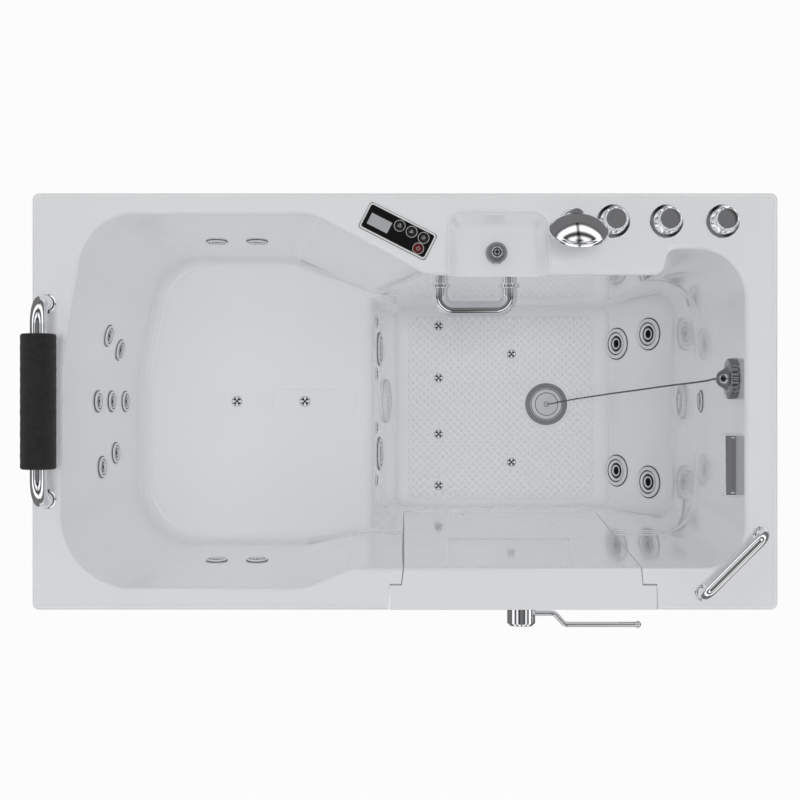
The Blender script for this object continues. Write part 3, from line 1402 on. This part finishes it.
class TUB_OT_jets(bpy.types.Operator):
    """Make the water jets and their nozzles"""

    bl_idname = "tub.jets"
    bl_label = "Water jets"

    def bezel(self, r, proud):
        """Bezel with a dished face on a dark gasket, and the body behind the wall."""
        gasket = hoop(r * 0.6, r, 0.2, 0.9, 72)
        q = r * 0.935
        profile = [(r * 0.5, 0.9), (q, 0.9), (q, proud * 0.45)]
        profile += arc(q - proud * 0.5, proud * 0.5, proud * 0.5, 0, 90, 6)
        profile += [
            (r * 0.78, proud * 0.9), (r * 0.72, proud * 0.82), (r * 0.7, proud * 0.4), (r * 0.655, proud * 0.4),
            (r * 0.64, proud * 0.85), (r * 0.56, proud * 0.8), (r * 0.5, proud * 0.55), (r * 0.5, 0.9),
        ]
        front = turned(profile, 72)
        paint(gasket, lambda c: 1)
        paint(front, lambda c: int(0.652 < off_axis(c) / r < 0.712 and c.z < proud * 0.83))
        back = turned([(r * 0.5, -34), (r * 0.62, -38), (r * 0.62, 0.9), (r * 0.5, 0.9), (r * 0.5, -34)], 36)
        nut = loft([circle(r * 0.62 + 6, z, 6) for z in (-17.6, -10.8)])
        return joined(gasket, front, back, nut)

    def nozzle(self, r, proud):
        """Black nozzle with a pale ring round its bore."""
        made = turned(
            [(0, -34), (r * 0.4, -34), (r * 0.47, -4), (r * 0.49, 0.4), (r * 0.45, proud * 0.35),
             (r * 0.355, proud * 0.4), (r * 0.34, proud * 0.62), (r * 0.27, proud * 0.62), (r * 0.25, proud * 0.3),
             (r * 0.2, -6), (0, -6)],
            48,
        )
        return paint(made, lambda c: int(off_axis(c) < r * 0.345 and c.z > proud * 0.35))

    def execute(self, context):
        finish = jet_plastic()
        dark = nozzle_black()
        small, riser, foot = size("small_jet_radius"), size("riser_jet_radius"), size("foot_jet_radius")
        nozzles = []
        for name, nodes, groups in (
            ("Back_jets", ["back_jets"], [(AT_BACK_JETS, small, 4)]),
            ("Side_jets", ["side_jets"], [(AT_SIDE_JETS, small, 4)]),
            ("Riser_jets", ["riser_jets"], [(AT_RISER_JETS, riser, 5)]),
            ("Foot_jets", ["foot_jets"], [(AT_FOOT_JETS, foot, 5), (AT_WALL_JET, small + 2, 4)]),
        ):
            parts = []
            for places, radius, proud in groups:
                parts.append(repeated(self.bezel(radius, proud), places))
                nozzles.append(repeated(self.nozzle(radius, proud), places))
            piece(name, joined(*parts), [finish, dark], "tub", nodes, 30)
        piece("Jet_nozzles", joined(*nozzles), [dark, finish], "tub", ["jet_nozzles"], 40)
        return {"FINISHED"}


class TUB_OT_air_jets(bpy.types.Operator):
    """Make the air jets with their five small holes"""

    bl_idname = "tub.air_jets"
    bl_label = "Air jets"

    def execute(self, context):
        r = size("air_jet_radius")
        cap = turned(
            [(0, -22), (6, -22), (6, 0.3), (r - 0.5, 0.3), (r, 0.7), (r - 0.6, 1.5), (r - 2.2, 2.1), (r - 3.2, 2.2),
             (r - 3.6, 1.9), (r - 4.0, 2.2), (r * 0.4, 2.75), (0, 2.75)],
            48,
        )
        pin = disc(2.7, 0.6, 5, 16)
        spots = [Matrix()] + [turn(45 + 90 * k, "Z") @ move(5.7, 0, 0) for k in range(4)]
        cap = carved(cap, *[placed(pin.copy(), s) for s in spots])
        pin.free()
        # Dark in the holes and in the groove round them
        paint(cap, lambda c: int(off_axis(c) < 8.5 and 0.5 < c.z < 2.4 or r - 4.05 < off_axis(c) < r - 3.1))
        finish = surface("White plastic", tint("white_plastic"), 0.22, vary=0.02, scale=50, coat=0.3)
        dark = nozzle_black()
        piece("Air_jets", repeated(cap, AT_AIR_JETS), [finish, dark], "tub", ["air_jets"])
        return {"FINISHED"}


class TUB_OT_suction_covers(bpy.types.Operator):
    """Make the slotted suction covers"""

    bl_idname = "tub.suction_covers"
    bl_label = "Suction covers"

    def cover(self, r):
        profile = [(0, -38), (r * 0.62, -38), (r * 0.62, 0.3), (r - 0.5, 0.3), (r, 0.9), (r, 2.2)]
        lid = turned(profile + arc(r - 6.5, 2.6, 6.5, 0, 84, 8) + [(r * 0.3, 9.2), (0, 9.2)], 96)
        slot = placed(rounded_box(r * 0.42, 3.4, 9, 1.6, 0.1, 4), move(r * 0.6, 0, 5))
        return carved(lid, repeated(slot, [turn(15 * k, "Z") for k in range(24)]))

    def execute(self, context):
        r = size("suction_radius")
        covers = [placed(self.cover(r * share), place) for share, place in zip((1, 0.79), AT_SUCTION)]
        piece("Suction_covers", joined(*covers), jet_plastic(), "tub", ["suction_covers"])
        return {"FINISHED"}


# ---------------------------------------------------------------- control panel


class TUB_OT_control_panel(bpy.types.Operator):
    """Make the bezel, the glass with its display, and the four keys with their marks"""

    bl_idname = "tub.control_panel"
    bl_label = "Control panel"

    def at(self, u, v, z=0.0):
        """A place on the panel, from its top left corner."""
        return AT_PANEL @ move(u - PANEL_L / 2, PANEL_W / 2 - v, z)

    def opening(self):
        """The tool that opens the bezel for the glass."""
        return placed(rounded_box(PANEL_L - 6.4, PANEL_W - 6.4, 8, 4.4, 0.1, 8), move(0, 0, -1))

    def execute(self, context):
        satin = surface("Satin silver", (0.88, 0.89, 0.90), 0.3, metal=0.2, vary=0.02, scale=40, coat=0.6)
        bezel = rounded_box(PANEL_L, PANEL_W, 4, 6, 1.2, 8)
        bezel = carved(bezel, self.opening())
        soften(bezel, 0.5, 2, 60)
        paint(bezel, lambda c: 0)
        gasket = paint(carved(rounded_box(PANEL_L, PANEL_W, 0.9, 6, 0.2, 8), self.opening()), lambda c: 1)
        black = key_black()
        bezel = joined(placed(bezel, Matrix.Diagonal((0.985, 0.965, 1, 1))), gasket)
        piece("Panel_bezel", placed(bezel, AT_PANEL), [satin, black], "tub", ["panel_bezel"])
        gloss = surface("Panel glass", tint("glass"), 0.08, vary=0.1, scale=30, rough_vary=0.02, specular=0.3)
        glass = placed(rounded_box(PANEL_L - 6.6, PANEL_W - 6.6, 3, 4.4, 0.3, 8), AT_PANEL)
        wells = [placed(disc(KEY_R + 0.2, -1, 6, 48), self.at(u, v)) for u, v in KEYS.values()]
        glass = carved(glass, *wells)
        screen = placed(rounded_box(41, 21.5, 0.25, 0.8, 0.1, 4), self.at(32.1, 28.7, 2.95))
        light = surface("Display", tint("display"), 0.3, vary=0.04, scale=60, coat=0.4)
        white = surface("Key ring", tint("icon"), 0.3, vary=0.03, scale=60)
        paint(glass, lambda c: 0)
        paint(screen, lambda c: 1)
        rims = [placed(hoop(KEY_R + 0.4, KEY_R + 1.1, 2.9, 3.18), self.at(u, v)) for u, v in KEYS.values()]
        rims = paint(joined(*rims), lambda c: 2)
        glass, finish = joined(glass, screen, rims), [gloss, light, white]
        piece("Panel_glass", glass, finish, "tub", ["panel_glass"], 40)
        red = surface("Power key", tint("red_key"), 0.16, vary=0.08, scale=50, coat=0.6)
        profile = [(0, 1), (KEY_R, 1), (KEY_R, 3.3)] + arc(KEY_R - 0.7, 3.3, 0.7, 0, 80, 4)
        profile += [(KEY_R * 0.6, 4.02), (0, 3.95)]
        marks = (self.jets_mark, self.air_mark, self.light_mark, self.power_mark)
        for (node, (u, v)), draw_mark in zip(KEYS.items(), marks):
            mark = paint(placed(draw_mark(), move(0, 0, 3.9)), lambda c: 1)
            key = placed(joined(turned(profile, 48), mark), self.at(u, v))
            button = node.replace("_key", "_button")
            if node == "power_key":
                piece(node.capitalize(), key, [red, white], button, [node], 40)
            else:
                piece(node.capitalize(), key, [black, white], button, [node], 40)
        return {"FINISHED"}

    def stroke(self, points, width):
        """A raised line of a mark."""
        return tube([(x, y, 0.05) for x, y in points], width * 0.5, 6)

    def jets_mark(self):
        """Three swirling arms."""
        arms = []
        for a in (0, 120, 240):
            arm = [(1.2 * (1 + t / 60), rad(a + t)) for t in range(0, 121, 20)]
            arms.append(self.stroke([(r * math.cos(way), r * math.sin(way)) for r, way in arm], 0.8))
        return joined(*arms)

    def air_mark(self):
        """Three bubbles."""
        bubbles = ((-1.6, -1.2, 1.5), (1.7, -0.4, 1.1), (-0.2, 2.2, 0.9))
        return joined(*[self.stroke(arc(x, y, r, 0, 360, 12), 0.6) for x, y, r in bubbles])

    def light_mark(self):
        """A lamp with eight rays."""
        ways = [(math.cos(rad(45 * k)), math.sin(rad(45 * k))) for k in range(8)]
        rays = [self.stroke([(2.7 * x, 2.7 * y), (4 * x, 4 * y)], 0.6) for x, y in ways]
        return joined(self.stroke(arc(0, 0, 1.7, 0, 360, 15), 0.6), *rays)

    def power_mark(self):
        """An open ring with a bar."""
        ring = self.stroke([(x, y) for y, x in arc(0, 0, 3, 40, 320, 14)], 0.7)
        return joined(ring, self.stroke([(0, 1), (0, 4)], 0.7))


# ---------------------------------------------------------------- latch, hinges and what lies under the deck


class TUB_OT_latch(bpy.types.Operator):
    """Make the latch lever and dress the latch and the hinges"""

    bl_idname = "tub.latch"
    bl_label = "Latch and hinges"

    def execute(self, context):
        finish = chrome()
        hub = turned(
            [(0, 8), (7.1, 8), (7.1, 0), (27, 0), (27, 30)]
            + arc(24.6, 30.4, 2.4, 0, 60, 4) + [(23.4, 32.6), (23, 34.6)] + arc(21.4, 34.4, 1.6, 0, 90, 5)
            + [(14, 36), (0, 36)],
            96,
        )
        placed(hub, move(LATCH_X, HUB_Y, LATCH_Z) @ turn(90, "X"))
        y1, y2 = HUB_Y - 12, HUB_Y - 34
        bend = [
            (24, y1), (58, y1), (63, y1 - 0.6), (67, y1 - 3), (81, y2 + 3.4), (85, y2 + 0.7), (90, y2), (150, y2),
            (226, y2),
        ]
        rod = tube([(LATCH_X + x, y, LATCH_Z) for x, y in bend], 5, 32)
        ball = [(0, -6.4), (2.5, -6), (4.6, -4.6), (6, -2.4), (6.5, 0), (6, 2.4), (4.6, 4.6), (2.5, 6), (0, 6.4)]
        knob = placed(turned(ball, 32), move(LATCH_X + 225, y2, LATCH_Z))
        piece("Handle_lever", joined(hub, rod, knob), finish, "handle", ["handle_lever"], 40)
        housing = turned(
            [(7.1, 0), (27, 0), (27, 12.6)] + arc(25.6, 12.8, 1.4, 0, 80, 4) + [(24.2, 14.4), (24, 18.8)]
            + arc(22.8, 18.8, 1.2, 0, 90, 4) + [(7.1, 20), (7.1, 0)],
            96,
        )
        placed(housing, move(LATCH_X, DOOR_FRONT, LATCH_Z) @ turn(90, "X"))
        piece("Latch_housing", housing, finish, "door", ["latch_housing"])
        for node in ("fixed_hinge_leaves", "door_hinge_leaves", "hinge_pins"):
            dress(node, finish, 0.6)
        steel = surface("Latch steel", tint("steel"), 0.35, metal=1.0, vary=0.1, scale=30)
        for node in ("latch_spindle", "latch_bar", "strike_cups"):
            dress(node, steel, 0.5)
        return {"FINISHED"}


class TUB_OT_underside(bpy.types.Operator):
    """Dress the frame, the feet, the pump set and the control box"""

    bl_idname = "tub.underside"
    bl_label = "Frame and pumps"

    def execute(self, context):
        steel = surface("Galvanised steel", tint("steel"), 0.38, metal=0.9, vary=0.16, scale=26, rough_vary=0.08)
        dress("base_frame", steel, 1.6, 3)
        dress("equipment_shelf", steel, 0.8)
        rubber = surface("Foot rubber", tint("motor"), 0.6, vary=0.2, scale=60, grain=0.1)
        dress("levelling_feet", rubber, 0.8)
        motor = surface("Motor casing", tint("motor"), 0.42, vary=0.2, scale=30, grain=0.08, grain_scale=500)
        dress("water_pump", motor, 2.5, 3)
        dress("air_blower", motor, 2.5, 3)
        grey = surface("Box plastic", tint("grey_plastic"), 0.4, vary=0.04, scale=30, grain=0.05)
        dress("control_box", grey, 4, 4)
        return {"FINISHED"}


class TUB_PT_panel(bpy.types.Panel):
    """Steps of the bathtub's build"""

    bl_label = "Bathtub"
    bl_idname = "TUB_PT_panel"
    bl_space_type = "VIEW_3D"
    bl_region_type = "UI"
    bl_category = "Bathtub"

    def draw(self, context):
        for step in STEPS_IN_ORDER:
            self.layout.operator(step.bl_idname)


STEPS_IN_ORDER = (
    TUB_OT_stage, TUB_OT_ball_chain, TUB_OT_shell, TUB_OT_tread, TUB_OT_door, TUB_OT_skirts, TUB_OT_bars, TUB_OT_taps,
    TUB_OT_shower, TUB_OT_spouts, TUB_OT_waste, TUB_OT_jets, TUB_OT_air_jets, TUB_OT_suction_covers,
    TUB_OT_control_panel, TUB_OT_latch, TUB_OT_underside,
)
CLASSES = (TubSizes, TubColours, *STEPS_IN_ORDER, TUB_PT_panel)


def register():
    for cls in CLASSES:
        bpy.utils.register_class(cls)
    bpy.types.Scene.tub_sizes = PointerProperty(type=TubSizes)
    bpy.types.Scene.tub_colours = PointerProperty(type=TubColours)


def unregister():
    del bpy.types.Scene.tub_colours
    del bpy.types.Scene.tub_sizes
    for cls in reversed(CLASSES):
        bpy.utils.unregister_class(cls)


def main():
    register()
    for step in STEPS_IN_ORDER:
        group, name = step.bl_idname.split(".")
        getattr(getattr(bpy.ops, group), name)()


if __name__ == "__main__":
    main()
